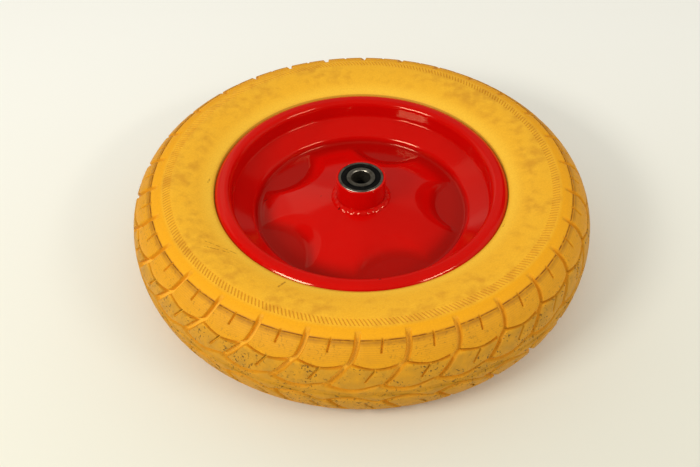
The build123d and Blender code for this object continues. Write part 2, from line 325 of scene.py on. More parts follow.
@dataclass(frozen=True)
class FoamSkin:
    """Moulded yellow foam: clean in its grooves, stained on the sidewall and scuffed on the tread; painted
    shade darkens its cracks, slits, groove walls, shoulder crease and the joint beside the rim.
    """

    body: ScreenColour = (243, 169, 10)
    near_rim: ScreenColour = (254, 200, 56)
    wall: ScreenColour = (247, 189, 46)
    # Brown for real stains and random tone, and for painted shade in the slits.
    stain_and_slit_shade: ScreenColour = (196, 124, 20)
    grime: ScreenColour = (172, 128, 42)
    groove: ScreenColour = (250, 190, 52)
    film: ScreenColour = (204, 142, 28)
    # Dark brown for painted shade in cracks and creases, and for the real scuffs.
    crack: ScreenColour = (140, 80, 12)
    speck: ScreenColour = (44, 38, 24)
    roughness: float = 0.56
    specular: float = 0.2
    wall_outer_radii: tuple[float, float] = (152.5, 149.0)
    wall_inner_radii: tuple[float, float] = (117.0, 131.0)
    rim_fade_radii: tuple[float, float] = (134.0, 113.0)
    # Radius and reach of the painted shade in the joint between tyre and rim.
    rim_line: tuple[float, float] = (112.7, 0.5)
    # Radius, reach and heights of the painted shade along the shoulder crease.
    shoulder_line: tuple[float, float] = (160.8, 3.4)
    shoulder_heights: tuple[float, float] = (32.0, 34.6)
    stipple_waves: tuple[float, float] = (13.7, 3.1)
    relief_depth: float = 0.28
    scuffs: tuple[Mark, ...] = (
        Mark((-110.2, -71.0), (-88.2, -79.0), 0.7),
        Mark((-109.5, -76.9), (-91.6, -79.9), 0.8),
        Mark((-55.9, -113.3), (-51.7, -106.1), 1.3),
        Mark((-117.2, -3.1), (-116.0, 1.9), 1.0),
        Mark((102.8, -51.2), (104.4, -48.2), 0.8),
    )

    def stipple(self, azimuth: Signal, height: Signal) -> Signal:
        """A fine diamond pattern from -1 to 1 over the blocks."""
        round_wheel, up = azimuth * self.stipple_waves[0], height * self.stipple_waves[1]
        return (round_wheel + up).sine() * (round_wheel - up).sine()

    def shade_and_scuffs(
        self, graph: Graph, radius: Signal, height: Signal, groove: Signal, blot: Signal
    ) -> Signal:
        """Share of dark brown: painted shade in the cracks, along the shoulder crease, on the groove walls
        and in the joint beside the rim, and the real scuffs.

        Args:
            graph: The material's node tree.
            radius: Radius of the surface.
            height: Its height.
            groove: Share of a groove.
            blot: Soft noise that breaks the brown up.

        Returns:
            The share, from 0 to 1.
        """
        # Painted shade in the step under the blocks' overhang.
        crack = graph.attribute("crack") * graph.noise(5, 3, seed=1.7).rise(0.2, 0.6)
        # Painted shade along the shoulder crease.
        shoulder = radius.near(*self.shoulder_line) * abs(height).rise(*self.shoulder_heights)
        shoulder = shoulder * (1 - groove) * (blot * 0.9 + 0.15)
        # Painted shade on the groove walls.
        edges = groove * (1 - groove) * 1.6 * blot
        scuffed = graph.streaks(self.scuffs) * graph.noise(1.6, 2, seed=2.9).rise(0.38, 0.58)
        # Painted shade in the joint between tyre and rim.
        beside_rim = radius.near(*self.rim_line)
        dark = crack * 0.8 + shoulder * 0.75 + edges * 0.8 + beside_rim * 0.45 + scuffed * 0.7
        return dark.at_most(1)

    def material(self) -> bpy.types.Material:
        """Builds the material."""
        graph = Graph("moulded_foam_skin")
        radius, azimuth, height = graph.polar()
        cloud, blot, grain = graph.noise(26, 5), graph.noise(7, 5, seed=0.3), graph.noise(1.1, 2, seed=0.7)
        block, worn, groove, slit = (graph.attribute(name) for name in ("block", "worn", "groove", "slit"))
        stipple = self.stipple(azimuth, height)
        wall = radius.rise(*self.wall_outer_radii) * radius.rise(*self.wall_inner_radii)
        stains = wall * (cloud * 0.5 + blot * 0.5).rise(0.44, 0.68)
        filmed = block * ((stipple * 0.5 + 0.5) * 0.5 + blot * 0.5)
        specks = (worn + block * 0.35) * (1 - groove) * graph.noise(1.7, 3, seed=1.3).rise(0.57, 0.64)
        specks = specks * graph.noise(16, 3, seed=2.1).rise(0.40, 0.58)
        shade = graph.layered(
            self.body,
            (radius.rise(*self.rim_fade_radii), self.near_rim),
            (wall * (cloud * 0.7 + 0.35), self.wall),
            (stains * 0.52, self.stain_and_slit_shade),
            (filmed, self.film),
            (worn * (blot * 0.9 + 0.15), self.grime),
            (groove, self.groove),
            (specks * 0.85, self.speck),
            # Painted shade in cracks, creases and the rim joint, with the real scuffs.
            (self.shade_and_scuffs(graph, radius, height, groove, blot), self.crack),
            # Painted shade in the slits of the serrated ring.
            (slit * 0.55, self.stain_and_slit_shade),
            ((grain - 0.5) * 0.5 + 0.12, self.stain_and_slit_shade),
        )
        relief = grain * 0.6 + block * stipple * 0.3 + worn * blot * 0.9
        return graph.finish(
            Base_Color=shade,
            Roughness=self.roughness + (grain - 0.5) * 0.12,
            Normal=graph.bump(relief, self.relief_depth, 0.45),
            Specular_IOR_Level=self.specular,
        )


@dataclass(frozen=True)
class Enamel:
    """Gloss red powder coat over pressed sheet, with a faint orange peel and painted shade low in the dish.
    """

    body: ScreenColour = (208, 6, 3)
    thin: ScreenColour = (190, 4, 2)
    # Darker red for painted shade low in the dish.
    low: ScreenColour = (158, 5, 2)
    bare: ScreenColour = (70, 12, 8)
    sheen: ScreenColour = (255, 214, 176)
    roughness: float = 0.1
    specular: float = 0.8
    peel_depth: float = 0.05
    dish_shade_heights: tuple[float, float] = (6.5, 1.5)
    chips: tuple[Mark, ...] = (
        Mark((-17.2, -15.5), (-16.4, -15.1), 0.8),
        Mark((12.2, -102.2), (13.4, -102.2), 0.7),
        Mark((-77.5, 7.4), (-75.0, 9.0), 0.5),
        Mark((-31.5, 1.2), (-31.1, 1.6), 0.5),
    )

    def material(self) -> bpy.types.Material:
        """Builds the material."""
        graph = Graph("red_enamel")
        _, _, height = graph.axes()
        cloud, peel, dust = graph.noise(40, 2), graph.noise(2.6, 2, seed=0.4), graph.noise(6, 4, seed=0.9)
        colour = graph.layered(
            self.body,
            (cloud.rise(0.35, 0.75) * 0.35, self.thin),
            # Painted shade on the disc and scoop floors, low in the dish.
            (abs(height).rise(*self.dish_shade_heights) * 0.8, self.low),
            (graph.streaks(self.chips).rise(0.25, 0.5), self.bare),
        )
        return graph.finish(
            Base_Color=colour,
            Roughness=self.roughness + dust.rise(0.45, 0.8) * 0.04,
            Normal=graph.bump(peel, self.peel_depth, 0.35),
            Specular_IOR_Level=self.specular,
            Specular_Tint=linear_colour(self.sheen),
        )


@dataclass(frozen=True)
class TurnedSteel:
    """Ground steel with fine rings round the axle."""

    name: str
    body: ScreenColour = (196, 188, 172)
    dull: ScreenColour = (128, 118, 100)
    roughness: float = 0.3
    ring_waves: float = 38.0
    ring_depth: float = 0.02

    def material(self) -> bpy.types.Material:
        """Builds the material."""
        graph = Graph(self.name)
        radius, _, height = graph.polar()
        tarnish = graph.noise(5, 4, seed=0.2)
        rings = ((radius + height) * self.ring_waves).sine() * 0.5 + 0.5
        return graph.finish(
            Base_Color=graph.layered(self.body, (tarnish.rise(0.42, 0.72) * 0.8, self.dull)),
            Metallic=1.0,
            Roughness=self.roughness + tarnish * 0.18,
            Normal=graph.bump(rings, self.ring_depth, 0.3),
        )


@dataclass(frozen=True)
class SealRubber:
    """Black moulded rubber of a bearing seal."""

    body: ScreenColour = (14, 13, 12)
    dust: ScreenColour = (52, 48, 40)
    roughness: float = 0.42
    specular: float = 0.15
    grain_depth: float = 0.04

    def material(self) -> bpy.types.Material:
        """Builds the material."""
        graph = Graph("seal_rubber")
        dust = graph.noise(2.2, 4).rise(0.5, 0.8)
        grain = graph.noise(0.35, 2, seed=0.5)
        return graph.finish(
            Base_Color=graph.layered(self.body, (dust * 0.35, self.dust)),
            Roughness=self.roughness + dust * 0.25,
            Normal=graph.bump(grain, self.grain_depth, 0.4),
            Specular_IOR_Level=self.specular,
        )


@dataclass(frozen=True)
class StudioPaper:
    """Pale seamless paper, darker towards the camera as painted shade."""

    body: ScreenColour = (254, 253, 245)
    # Paper colour for the painted shade towards the camera.
    front: ScreenColour = (227, 225, 210)
    shade_span: tuple[float, float] = (-420.0, 330.0)
    roughness: float = 0.9
    specular: float = 0.1

    def material(self) -> bpy.types.Material:
        """Builds the material."""
        graph = Graph("studio_paper")
        _, back, _ = graph.axes()
        # Painted shade: the paper darkens towards the camera.
        colour = graph.layered(self.body, ((back * -1).rise(*self.shade_span), self.front))
        return graph.finish(Base_Color=colour, Roughness=self.roughness, Specular_IOR_Level=self.specular)


@dataclass(frozen=True)
class Corner:
    """One corner of a meridian, in millimetres."""

    radius: float
    height: float
    bend: float = 0.0

    @property
    def point(self) -> Array:
        """The corner as an array."""
        return np.array((self.radius, self.height))


def arc_points(start: Array, end: Array, bulge: float, step: float = 0.4) -> Array:
    """Points along an arc.

    Args:
        start: Where it starts.
        end: Where it ends.
        bulge: Height of the arc over its chord, to the right of the way it runs if positive.
        step: Rough distance between points.

    Returns:
        The points, both ends included.
    """
    chord = end - start
    length = float(np.hypot(*chord))
    count = max(int(length / step), 2)
    share = np.linspace(0, 1, count + 1)[:, None]
    if abs(bulge) < 1e-9:
        return start + chord * share
    right = np.array((chord[1], -chord[0])) / length
    radius = (length**2 / 4 + bulge**2) / (2 * abs(bulge))
    centre = (start + end) / 2 + right * (bulge - math.copysign(radius, bulge))
    first, last = (math.atan2(*(p - centre)[::-1]) for p in (start, end))
    turn = (last - first + math.pi) % (2 * math.pi) - math.pi
    angles = first + turn * share[:, 0]
    return centre + radius * np.column_stack((np.cos(angles), np.sin(angles)))


def bent_line(corners: Sequence[Corner], arc_step: float = 9.0) -> Array:
    """Points of a line with rounded corners.

    Args:
        corners: Its corners, the first and last of which are its ends.
        arc_step: Degrees between the points of a bend.

    Returns:
        The ends, and the points of each bend.
    """
    points = [corners[0].point]
    for before, here, after in zip(corners, corners[1:], corners[2:]):
        way_in, way_out = here.point - before.point, after.point - here.point
        way_in, way_out = way_in / np.hypot(*way_in), way_out / np.hypot(*way_out)
        turn = math.atan2(way_in[0] * way_out[1] - way_in[1] * way_out[0], float(way_in @ way_out))
        if here.bend == 0 or abs(turn) < 1e-6:
            points.append(here.point)
            continue
        left = np.array((-way_in[1], way_in[0])) * math.copysign(1, turn)
        reach = here.bend * math.tan(abs(turn) / 2)
        start = here.point - way_in * reach
        centre = start + left * here.bend
        for angle in np.linspace(0, turn, max(int(math.degrees(abs(turn)) / arc_step), 2) + 1):
            c, s = math.cos(angle), math.sin(angle)
            spoke = start - centre
            points.append(centre + (spoke[0] * c - spoke[1] * s, spoke[0] * s + spoke[1] * c))
    points.append(corners[-1].point)
    return np.array(points)


class Meridian:
    """A line in the half plane of radius and height, read by the length along it."""

    def __init__(self, points: Array) -> None:
        """Takes the line's points in order."""
        keep = np.append(True, np.hypot(*np.diff(points, axis=0).T) > 1e-6)
        self.points = points[keep]
        self.lengths = np.append(0, np.cumsum(np.hypot(*np.diff(self.points, axis=0).T)))

    @property
    def length(self) -> float:
        """The whole length."""
        return float(self.lengths[-1])

    def at(self, length: Array) -> tuple[Array, Array]:
        """Radius and height at lengths along the line."""
        return tuple(np.interp(length, self.lengths, self.points[:, k]) for k in range(2))

    def rows(self, longest: float) -> Array:
        """Lengths of the line's own points, with more between where they lie apart."""
        made = [0.0]
        for low, high in zip(self.lengths, self.lengths[1:]):
            count = max(math.ceil((high - low) / longest), 1)
            made.extend(low + (high - low) * (k + 1) / count for k in range(count))
        return np.array(made)


def swept_place(radius: Array, azimuth: Array, height: Array) -> Array:
    """Points in space from radii, azimuths in degrees and heights."""
    angle = np.radians(azimuth)
    return np.stack((radius * np.sin(angle), -radius * np.cos(angle), height), axis=-1)


Surface = Callable[[Array, Array], Array]


def surface_normals(surface: Surface, azimuth: Array, along: Array, step: float = 0.06) -> Array:
    """Normals of a surface by small steps either way.

    Args:
        surface: Gives points from azimuths in degrees and lengths along a meridian.
        azimuth: Azimuths of the points.
        along: Lengths of the points.
        step: The step in millimetres.

    Returns:
        Unit normals, on the left of the way that both grow.
    """
    turn = step / 2
    across = surface(azimuth + turn, along) - surface(azimuth - turn, along)
    up = surface(azimuth, along + step) - surface(azimuth, along - step)
    normal = np.cross(across, up)
    return normal / np.maximum(np.linalg.norm(normal, axis=-1, keepdims=True), 1e-12)


def make_piece(
    name: str,
    points: Array,
    faces: Iterable[Sequence[int]],
    normals: Array | None = None,
    marks: Mapping[str, Array] | None = None,
) -> bpy.types.Object:
    """Makes a mesh object at the origin of the frame.

    Args:
        name: The piece's name.
        points: Its points in millimetres.
        faces: Point numbers of each face, counter-clockwise from outside.
        normals: A normal for each point, or None for flat faces.
        marks: Values kept with the points, by name.

    Returns:
        The object, linked to the scene.
    """
    mesh = bpy.data.meshes.new(name)
    mesh.from_pydata((points * MM).tolist(), [], [list(map(int, face)) for face in faces])
    for mark, values in (marks or {}).items():
        mesh.attributes.new(mark, "FLOAT", "POINT").data.foreach_set("value", values.astype(np.float32))
    mesh.update()
    if normals is not None:
        mesh.shade_smooth()
        mesh.normals_split_custom_set_from_vertices(normals.tolist())
    piece = bpy.data.objects.new(name, mesh)
    bpy.context.scene.collection.objects.link(piece)
    return piece


def dress(piece: bpy.types.Object, material: bpy.types.Material) -> None:
    """Gives a piece one material in place of any it has."""
    piece.data.materials.clear()
    piece.data.materials.append(material)


def seat(piece: bpy.types.Object, body: str, replaced: Sequence[str]) -> None:
    """Puts a finished piece on its body and in place of the nodes it stands for.

    Args:
        piece: The piece.
        body: The body that carries it.
        replaced: Nodes that the piece stands for.
    """
    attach(piece, body)
    if replaced:
        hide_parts(*replaced)
    LOG.info("%s: %d faces on %s", piece.name, len(piece.data.polygons), body)


def swept_grid(
    name: str, surface: Surface, rows: Array, columns: int, flipped: bool = False
) -> bpy.types.Object:
    """Sweeps a closed meridian once round the axle as a grid of quads.

    Args:
        name: The piece's name.
        surface: Gives points from azimuths and lengths along the meridian.
        rows: Lengths of the grid's rows, the last of which joins the first.
        columns: Number of columns round the axle.
        flipped: True where the outside is on the other side of the meridian.

    Returns:
        The piece.
    """
    azimuths = np.arange(columns) * 360 / columns
    azimuth, along = (grid.ravel() for grid in np.meshgrid(azimuths, rows))
    points, normals = surface(azimuth, along), surface_normals(surface, azimuth, along)
    faces = []
    for row in range(len(rows)):
        low, high = row * columns, (row + 1) % len(rows) * columns
        for column in range(columns):
            beside = (column + 1) % columns
            face = [low + column, low + beside, high + beside, high + column]
            faces.append(face[::-1] if flipped else face)
    return make_piece(name, points, faces, -normals if flipped else normals)


def turned_piece(name: str, corners: Sequence[Corner], columns: int = 144) -> bpy.types.Object:
    """Turns a closed meridian into a ring.

    Args:
        name: The piece's name.
        corners: Corners of the section, counter-clockwise with radius to the right and height up.
        columns: Number of columns round the axle.

    Returns:
        The piece.
    """
    start = Corner(*((corners[-1].point + corners[0].point) / 2))
    line = Meridian(bent_line([start, *corners, start], 15))

    def surface(azimuth: Array, along: Array) -> Array:
        """Points of the ring."""
        radius, height = line.at(along % line.length)
        return swept_place(radius, azimuth, height)

    return swept_grid(name, surface, line.rows(6)[:-1], columns)


def smooth_share(value: Array) -> Array:
    """A smooth rise from 0 to 1 as the value does."""
    share = np.clip(value, 0, 1)
    return share * share * (3 - 2 * share)


def soft_least(first: Array, second: Array, width: float) -> Array:
    """The lesser of two heights, rounded where they meet over a width."""
    blend = np.clip(0.5 + 0.5 * (second - first) / width, 0, 1)
    return second * (1 - blend) + first * blend - width * blend * (1 - blend)


@dataclass(frozen=True)
class Cut:
    """A cut of the tread, drawn once for a pitch of the upper side.

    Places are pairs of degrees from the pitch's main groove and millimetres from the middle plane,
    each with half the cut's width there.
    """

    line: tuple[tuple[float, float, float], ...]
    depth: float
    run_out: float = 0.0
    wall: float = 1.1
    edge: float = 0.35
    steps: int = 7

    def course(self, to_drawing: Callable[[float, float], tuple[float, float]]) -> Array:
        """The cut's middle line as a smooth curve in the flat drawing.

        Args:
            to_drawing: Turns degrees and height into the drawing's coordinates.

        Returns:
            Rows of across, along and half width.
        """
        knots = np.array([(*to_drawing(angle, height), half) for angle, height, half in self.line])
        if len(knots) == 2:
            return knots
        ends = np.vstack((2 * knots[0] - knots[1], knots, 2 * knots[-1] - knots[-2]))
        made = []
        for a, b, c, d in zip(ends, ends[1:], ends[2:], ends[3:]):
            square, cube = 2 * a - 5 * b + 4 * c - d, 3 * b - a - 3 * c + d
            for t in np.arange(self.steps) / self.steps:
                made.append(0.5 * (2 * b + (c - a) * t + square * t**2 + cube * t**3))
        return np.array([*made, knots[-1]])


def inside_course(across: Array, along: Array, course: Array, pitch: float) -> Array:
    """How far points lie inside a cut of changing width that repeats every pitch.

    Args:
        across: The points' first coordinate.
        along: Their second.
        course: Rows of across, along and half width.
        pitch: Distance between the repeats.

    Returns:
        Millimetres inside the cut's edge, negative outside.
    """
    deepest = np.full(across.shape, -1e3)
    for start, end in zip(course, course[1:]):
        run = end[:2] - start[:2]
        for shift in (-pitch, 0, pitch):
            x, y = across + shift - start[0], along - start[1]
            share = np.clip((x * run[0] + y * run[1]) / (run @ run), 0, 1)
            gap = np.hypot(x - share * run[0], y - share * run[1])
            deepest = np.maximum(deepest, start[2] + (end[2] - start[2]) * share - gap)
    return deepest


GridEdge = tuple[int, int, int]


def linked_edges(high: Array) -> dict[GridEdge, list[GridEdge]]:
    """How the border of an area runs through the cells of a grid.

    Args:
        high: True at the grid's points inside the area, by column and row.

    Returns:
        For each edge of the grid that the border crosses, the next ones on either side. An edge is
        0 along a row or 1 up a column, with the column and row of its first point.
    """
    low_side, right_side, top_side, left_side = (0, 0, 0), (1, 1, 0), (0, 0, 1), (1, 0, 0)
    ways = {
        1: [(left_side, low_side)],
        2: [(low_side, right_side)],
        3: [(left_side, right_side)],
        4: [(right_side, top_side)],
        6: [(low_side, top_side)],
        7: [(left_side, top_side)],
    }
    ways.update({15 - case: pairs for case, pairs in ways.items()})
    ways[5] = [(left_side, low_side), (right_side, top_side)]
    ways[10] = [(low_side, right_side), (left_side, top_side)]
    links: dict[GridEdge, list[GridEdge]] = {}
    corners = high[:-1, :-1] * 1 + high[1:, :-1] * 2 + high[1:, 1:] * 4 + high[:-1, 1:] * 8
    for i, j in zip(*np.nonzero((corners > 0) & (corners < 15))):
        for pair in ways[int(corners[i, j])]:
            ends = [(kind, int(i) + di, int(j) + dj) for kind, di, dj in pair]
            for here, there in (ends, ends[::-1]):
                links.setdefault(here, []).append(there)
    return links


def level_lines(values: Array, level: float) -> list[Array]:
    """Lines of equal value on a grid.

    Args:
        values: Values by column and row of the grid.
        level: The value to follow.

    Returns:
        Each line's points, in grid steps.
    """
    links = linked_edges(values > level)

    def crossing(edge: GridEdge) -> tuple[float, float]:
        """Where the level crosses one edge of the grid."""
        kind, i, j = edge
        first, second = values[i, j], values[i + (kind == 0), j + (kind == 1)]
        share = float((level - first) / (second - first))
        return (i + share, j) if kind == 0 else (i, j + share)

    lines, seen = [], set()
    for start in sorted(links, key=lambda edge: len(links[edge])):
        if start in seen:
            continue
        chain, here = [start], start
        seen.add(start)
        while following := [edge for edge in links[here] if edge not in seen]:
            here = following[0]
            seen.add(here)
            chain.append(here)
        if len(links[start]) == 2 and start in links[here]:
            chain.append(start)
        lines.append(np.array([crossing(edge) for edge in chain]))
    return lines


def thinned(points: Array, slack: float) -> Array:
    """Drops the points of a line that lie within a slack of the rest."""
    if len(points) < 3:
        return points
    first, last = points[0], points[-1]
    run = last - first
    size = float(np.hypot(*run))
    if size < 1e-9:
        gaps = np.hypot(*(points - first).T)
    else:
        gaps = np.abs((points[:, 0] - first[0]) * run[1] - (points[:, 1] - first[1]) * run[0]) / size
    furthest = int(np.argmax(gaps))
    if gaps[furthest] <= slack or furthest in (0, len(points) - 1):
        return np.array((first, last))
    return thinned_halves(points, furthest, slack)


def thinned_halves(points: Array, middle: int, slack: float) -> Array:
    """Thins a line on either side of a point that stays."""
    return np.vstack((thinned(points[: middle + 1], slack)[:-1], thinned(points[middle:], slack)))


class Drawing:
    """Points and lines of a flat drawing that is to be cut into triangles."""

    def __init__(self) -> None:
        """Starts an empty drawing."""
        self.points: list[tuple[float, float]] = []
        self.edges: list[tuple[int, int]] = []

    def add_line(self, line: Array) -> None:
        """Adds the points of a line and the edges between them."""
        first = len(self.points)
        self.points.extend(map(tuple, line))
        self.edges.extend((first + k, first + k + 1) for k in range(len(line) - 1))

    def triangles(self) -> tuple[Array, Array]:
        """Cuts the drawing along its lines: all points, and the numbers of each triangle's three."""
        made = delaunay_2d_cdt([Vector(point) for point in self.points], self.edges, [], 0, 1e-4)
        return np.array([tuple(point) for point in made[0]]), np.array([tuple(face) for face in made[2]])


OUTSIDE = -9.0


@dataclass
class FoamTyre:
    """The foam tyre: a tread of thirty pitches, mirrored in its middle plane, and two sidewalls."""

    diameter: float = 353.4
    crown_radius: float = 62.0
    crown_half_width: float = 14.0
    shoulder: Corner = Corner(160.0, 35.1)
    peak: Corner = Corner(147.0, 38.6)
    band_bulge: float = 0.6
    wall_bulge: float = 2.2
    rim_edge: Corner = Corner(112.7, 29.3)
    bead: tuple[Corner, ...] = (
        Corner(112.7, 26.4),
        Corner(103.0, 26.4),
        Corner(101.8, 24.9),
        Corner(101.8, 12.3),
        Corner(92.8, 7.4),
        Corner(92.8, 0.0),
    )
    pitches: int = 30
    phase: float = -1.0
    drawing_radius: float = 168.0
    cuts: tuple[Cut, ...] = (
        Cut(
            (
                (0.2, 43.0, 2.2),
                (0.0, 35.1, 2.15),
                (-0.35, 31.3, 2.0),
                (-0.85, 28.2, 1.95),
                (-1.35, 25.4, 1.95),
                (-2.45, 22.6, 1.95),
                (-4.15, 16.3, 2.0),
                (-5.95, 10.0, 2.0),
                (-6.6, 8.3, 1.9),
            ),
            depth=4.0,
            run_out=8.0,
        ),
        Cut(
            (
                (-1.4, 24.6, 0.85),
                (1.6, 22.3, 0.85),
                (4.25, 21.25, 0.85),
                (6.9, 21.9, 1.1),
                (9.6, 23.4, 1.5),
            ),
            depth=4.0,
        ),
        Cut(
            (
                (4.9, 8.5, 1.1),
                (6.6, 6.75, 1.7),
                (8.75, 4.8, 1.85),
                (10.75, 4.05, 1.9),
                (12.9, 5.1, 1.6),
                (15.0, 7.5, 1.1),
                (17.0, 9.5, 0.95),
            ),
            depth=4.0,
        ),
        Cut(((5.95, 37.0, 0.85), (5.4, 30.5, 0.8)), depth=2.4, run_out=3.0, wall=0.8, edge=0.3),
        Cut(((3.9, 21.0, 0.9), (1.8, 12.4, 0.85)), depth=2.4, wall=0.8, edge=0.3),
    )
    slits: int = 11
    slit_radii: tuple[float, float] = (143.9, 149.7)
    slit_slant: float = 1.25
    slit_half_width: float = 0.55
    slit_edge: float = 0.25
    slit_ramp: float = 0.7
    slit_depth: float = 0.5
    crack_depth: float = 0.5
    crack_places: tuple[float, ...] = (0.0, 0.25, 0.7, 1.3, 4.5)
    crack_shares: tuple[float, ...] = (0.0, 1.0, 1.0, 0.3, 0.0)
    # How far past the shoulder the painted shade in the crack reaches.
    crack_shade_reach: float = 1.2
    centre_line_gap: float = 1.4
    centre_line_half_width: float = 0.35
    centre_line_depth: float = 0.3
    block_foot_height: float = 22.5
    levels: tuple[float, ...] = (0.0, 0.15, 0.4, 0.7, 1.0)
    tile_step: float = 0.3
    tile_slack: float = 0.05
    meridian: Meridian = field(init=False)
    courses: list[Array] = field(init=False)
    outward: tuple[Array, Array] = field(init=False)
    shoulder_at: float = field(init=False)
    peak_at: float = field(init=False)
    rim_at: float = field(init=False)
    pitch: float = field(init=False)

    def __post_init__(self) -> None:
        """Works out the section, the shoulder's place along it and the cuts' middle lines."""
        crown = self.diameter / 2
        centre = np.array((crown - self.crown_radius, 0.0))
        bend = math.asin(self.crown_half_width / self.crown_radius)
        out = np.array((math.cos(bend), math.sin(bend)))
        joint = centre + self.crown_radius * out
        chord = joint - self.shoulder.point
        radius = float(chord @ chord) / (2 * float(out @ chord))
        bulges = [
            (np.array((crown, 0.0)), joint, self.crown_radius * (1 - math.cos(bend / 2))),
            (joint, self.shoulder.point, radius - math.sqrt(radius**2 - float(chord @ chord) / 4)),
            (self.shoulder.point, self.peak.point, self.band_bulge),
            (self.peak.point, self.rim_edge.point, self.wall_bulge),
        ]
        stretches = [arc_points(*arc) for arc in bulges]
        self.shoulder_at = sum(Meridian(line).length for line in stretches[:2])
        self.peak_at = self.shoulder_at + Meridian(stretches[2]).length
        self.rim_at = self.peak_at + Meridian(stretches[3]).length
        self.meridian = Meridian(np.vstack((*stretches, [corner.point for corner in self.bead])))
        self.pitch = math.radians(360 / self.pitches) * self.drawing_radius
        fine = np.arange(0, self.meridian.length, 0.25)
        radius, height = self.meridian.at(fine)
        slope = np.stack((np.gradient(height), -np.gradient(radius)))
        window = np.ones(49) / 49
        soft = np.stack([np.convolve(np.pad(row, 24, mode="edge"), window, "valid") for row in slope])
        self.outward = (fine, soft / np.hypot(*soft))
        self.courses = [cut.course(self.to_drawing) for cut in self.cuts]

    def along_at(self, height: float) -> float:
        """Length along the section where the tread, or the band beyond it, has a height.

        Args:
            height: Height over the middle plane; past the shoulder it counts along the band.

        Returns:
            The length.
        """
        if height > self.shoulder.height:
            return self.shoulder_at + height - self.shoulder.height
        lengths, points = self.meridian.lengths, self.meridian.points
        tread = lengths <= self.shoulder_at + 1e-6
        return float(np.interp(height, points[tread, 1], lengths[tread]))

    def to_drawing(self, angle: float, height: float) -> tuple[float, float]:
        """A place of the tread in the flat drawing."""
        return math.radians(angle) * self.drawing_radius, self.along_at(height)

    def stage(self, across: Array, along: Array) -> tuple[Array, Array, Array, Array]:
        """How far the cuts have gone at points of the flat drawing.

        Args:
            across: Millimetres round the drawing's radius.
            along: Lengths along the section.

        Returns:
            The deepest stage of any cut or slit, the depth, the share of a groove and of a slit.
        """
        across = across % self.pitch
        deepest, depth, groove = (np.full(across.shape, value) for value in (OUTSIDE, 0.0, 0.0))
        for cut, course in zip(self.cuts, self.courses):
            inside = inside_course(across, along, course, self.pitch)
            reached = (inside + cut.edge) / (cut.wall + cut.edge)
            share = smooth_share(reached)
            if cut.run_out:
                share = share * smooth_share((self.shoulder_at + cut.run_out - along) / cut.run_out)
            deepest = np.maximum(deepest, reached)
            depth = np.maximum(depth, cut.depth * share)
            groove = np.maximum(groove, share)
        reached = (self.inside_slit(across, along) + self.slit_edge) / self.slit_ramp
        slit = smooth_share(reached)
        return np.maximum(deepest, reached), np.maximum(depth, self.slit_depth * slit), groove, slit

    def inside_slit(self, across: Array, along: Array) -> Array:
        """How far points of the flat drawing lie inside a slit of the serrated ring.

        Args:
            across: Millimetres round the drawing's radius.
            along: Lengths along the section.

        Returns:
            Millimetres inside the slit's edge, negative outside.
        """
        radius, _ = self.meridian.at(along)
        low, high = self.slit_radii
        middle = (low + high) / 2
        gap = self.pitch / self.slits
        slant = math.radians(self.slit_slant) * self.drawing_radius / (high - low)
        off = (across - (radius - middle) * slant + gap / 2) % gap - gap / 2
        off = off * middle / self.drawing_radius
        ends = (high - low) / 2 - self.slit_half_width
        beyond = np.maximum(np.abs(radius - middle) - ends, 0)
        return np.where(along > self.shoulder_at, self.slit_half_width - np.hypot(off, beyond), OUTSIDE)

    def crack(self, along: Array, groove: Array) -> Array:
        """Share of the step under the blocks' overhang at the shoulder, closed where a groove crosses."""
        past = along - self.shoulder_at
        profile = np.interp(past, self.crack_places, self.crack_shares)
        return np.where(past > 0, profile, 0.0) * (1 - smooth_share(groove * 4))

    def surface(self, azimuth: Array, along: Array) -> Array:
        """Points of the tyre's upper half."""
        across = np.radians(azimuth - self.phase) * self.drawing_radius
        _, depth, groove, _ = self.stage(across, along)
        depth = depth + self.crack_depth * self.crack(along, groove)
        for line in (0.0, self.centre_line_gap):
            share = np.clip(1 - np.abs(along - line) / self.centre_line_half_width, 0, 1)
            depth = depth + self.centre_line_depth * share
        radius, height = self.meridian.at(np.abs(along))
        lengths, outward = self.outward
        radius = radius - depth * np.interp(np.abs(along), lengths, outward[0])
        height = height - depth * np.interp(np.abs(along), lengths, outward[1])
        return swept_place(radius, azimuth, np.where(along < 0, -height, height))

    @property
    def bead_rows(self) -> list[float]:
        """Lengths of the section's corners from the rim's edge to its foot."""
        return [self.rim_at, *self.meridian.lengths[-len(self.bead) :]]

    def draw_cuts(self, drawing: Drawing) -> None:
        """Draws the lines of equal depth round every cut of one pitch."""
        step = self.tile_step
        xs = np.linspace(0, self.pitch, math.ceil(self.pitch / step) + 1)
        ys = np.arange(0, self.peak_at + 8, step)
        stage = self.stage(*np.meshgrid(xs, ys, indexing="ij"))[0]
        stage[-1] = stage[0]
        scale = np.array((xs[1], step))
        for level in self.levels:
            for line in level_lines(stage, level):
                if len(line) > 5:
                    drawing.add_line(thinned_halves(line * scale, len(line) // 2, self.tile_slack))

    def draw_rows(self, drawing: Drawing) -> None:
        """Draws the lines that run round the tyre and the two sides of the pitch."""
        gap, half = self.centre_line_gap, self.centre_line_half_width
        rows = [0.0, half, gap - half, gap, gap + half]
        rows += [self.shoulder_at + past for past in (-0.4, *self.crack_places)]
        rows += [self.peak_at, self.peak_at + 9, *self.bead_rows]
        for row in rows:
            drawing.add_line(np.array(((0.0, row), (self.pitch, row))))
        sides = np.array(sorted({*rows, *np.arange(4, self.rim_at, 4.0)}))
        for x in (0.0, self.pitch):
            drawing.add_line(np.column_stack((np.full(len(sides), x), sides)))

